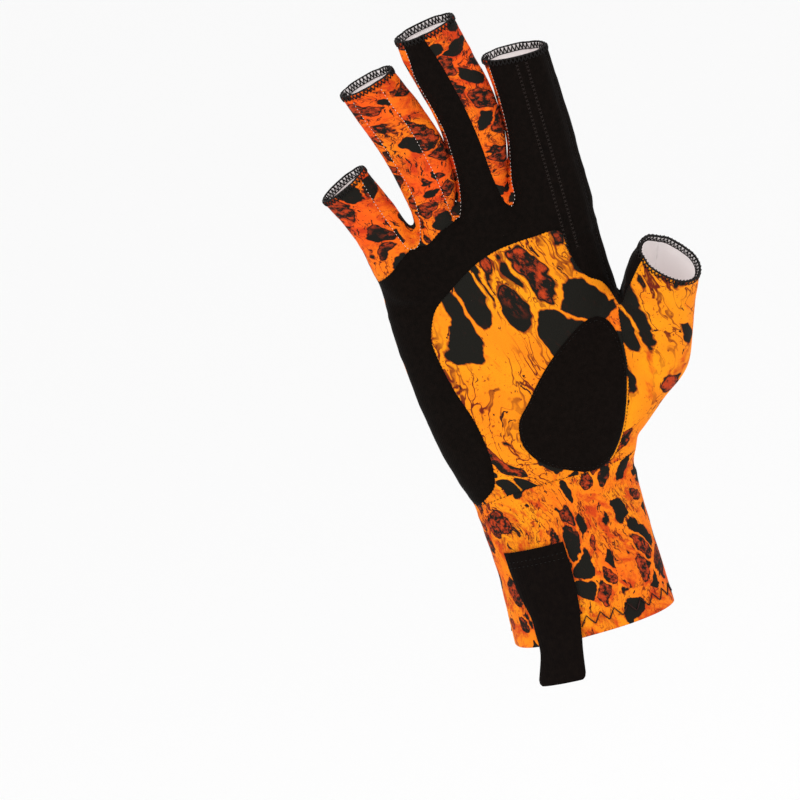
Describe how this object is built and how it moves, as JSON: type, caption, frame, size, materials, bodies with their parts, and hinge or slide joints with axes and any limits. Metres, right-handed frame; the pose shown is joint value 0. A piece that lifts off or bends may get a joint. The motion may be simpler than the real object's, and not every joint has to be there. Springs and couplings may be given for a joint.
{
  "type": "fishing glove",
  "caption": "Fingerless fishing glove for the right hand: printed stretch cloth, plain dark palm panels, a patch at the thumb root and a pull tab on the cuff.",
  "frame": {"origin": "middle of the cuff's opening, where the hand goes in", "axes": "+Z from the cuff to the fingertips, -Y out of the palm, +X to the thumb side"},
  "size_m": [0.141, 0.054, 0.2802],
  "materials": {
    "printed_cloth": "matte printed knit",
    "plain_cloth": "matte knit",
    "patch_cloth": "matte brushed microfibre",
    "tab_cloth": "matte webbing",
    "rim_thread": "overlocked polyester thread"
  },
  "bodies": {
    "root": {"back_panel": "printed_cloth", "palm_panel": "plain_cloth", "palm_insert": "printed_cloth", "cuff_front": "printed_cloth", "ring_front": "printed_cloth", "pinky_front": "printed_cloth", "pinky_ring_side": "printed_cloth", "ring_middle_side": "printed_cloth", "middle_index_side": "printed_cloth", "thumb_gusset": "plain_cloth", "thenar_patch": "patch_cloth", "pull_tab": "tab_cloth", "rim_thumb": "rim_thread", "rim_pinky": "rim_thread", "rim_ring": "rim_thread", "rim_middle": "rim_thread", "rim_index": "rim_thread"}
  },
  "joints": []
}
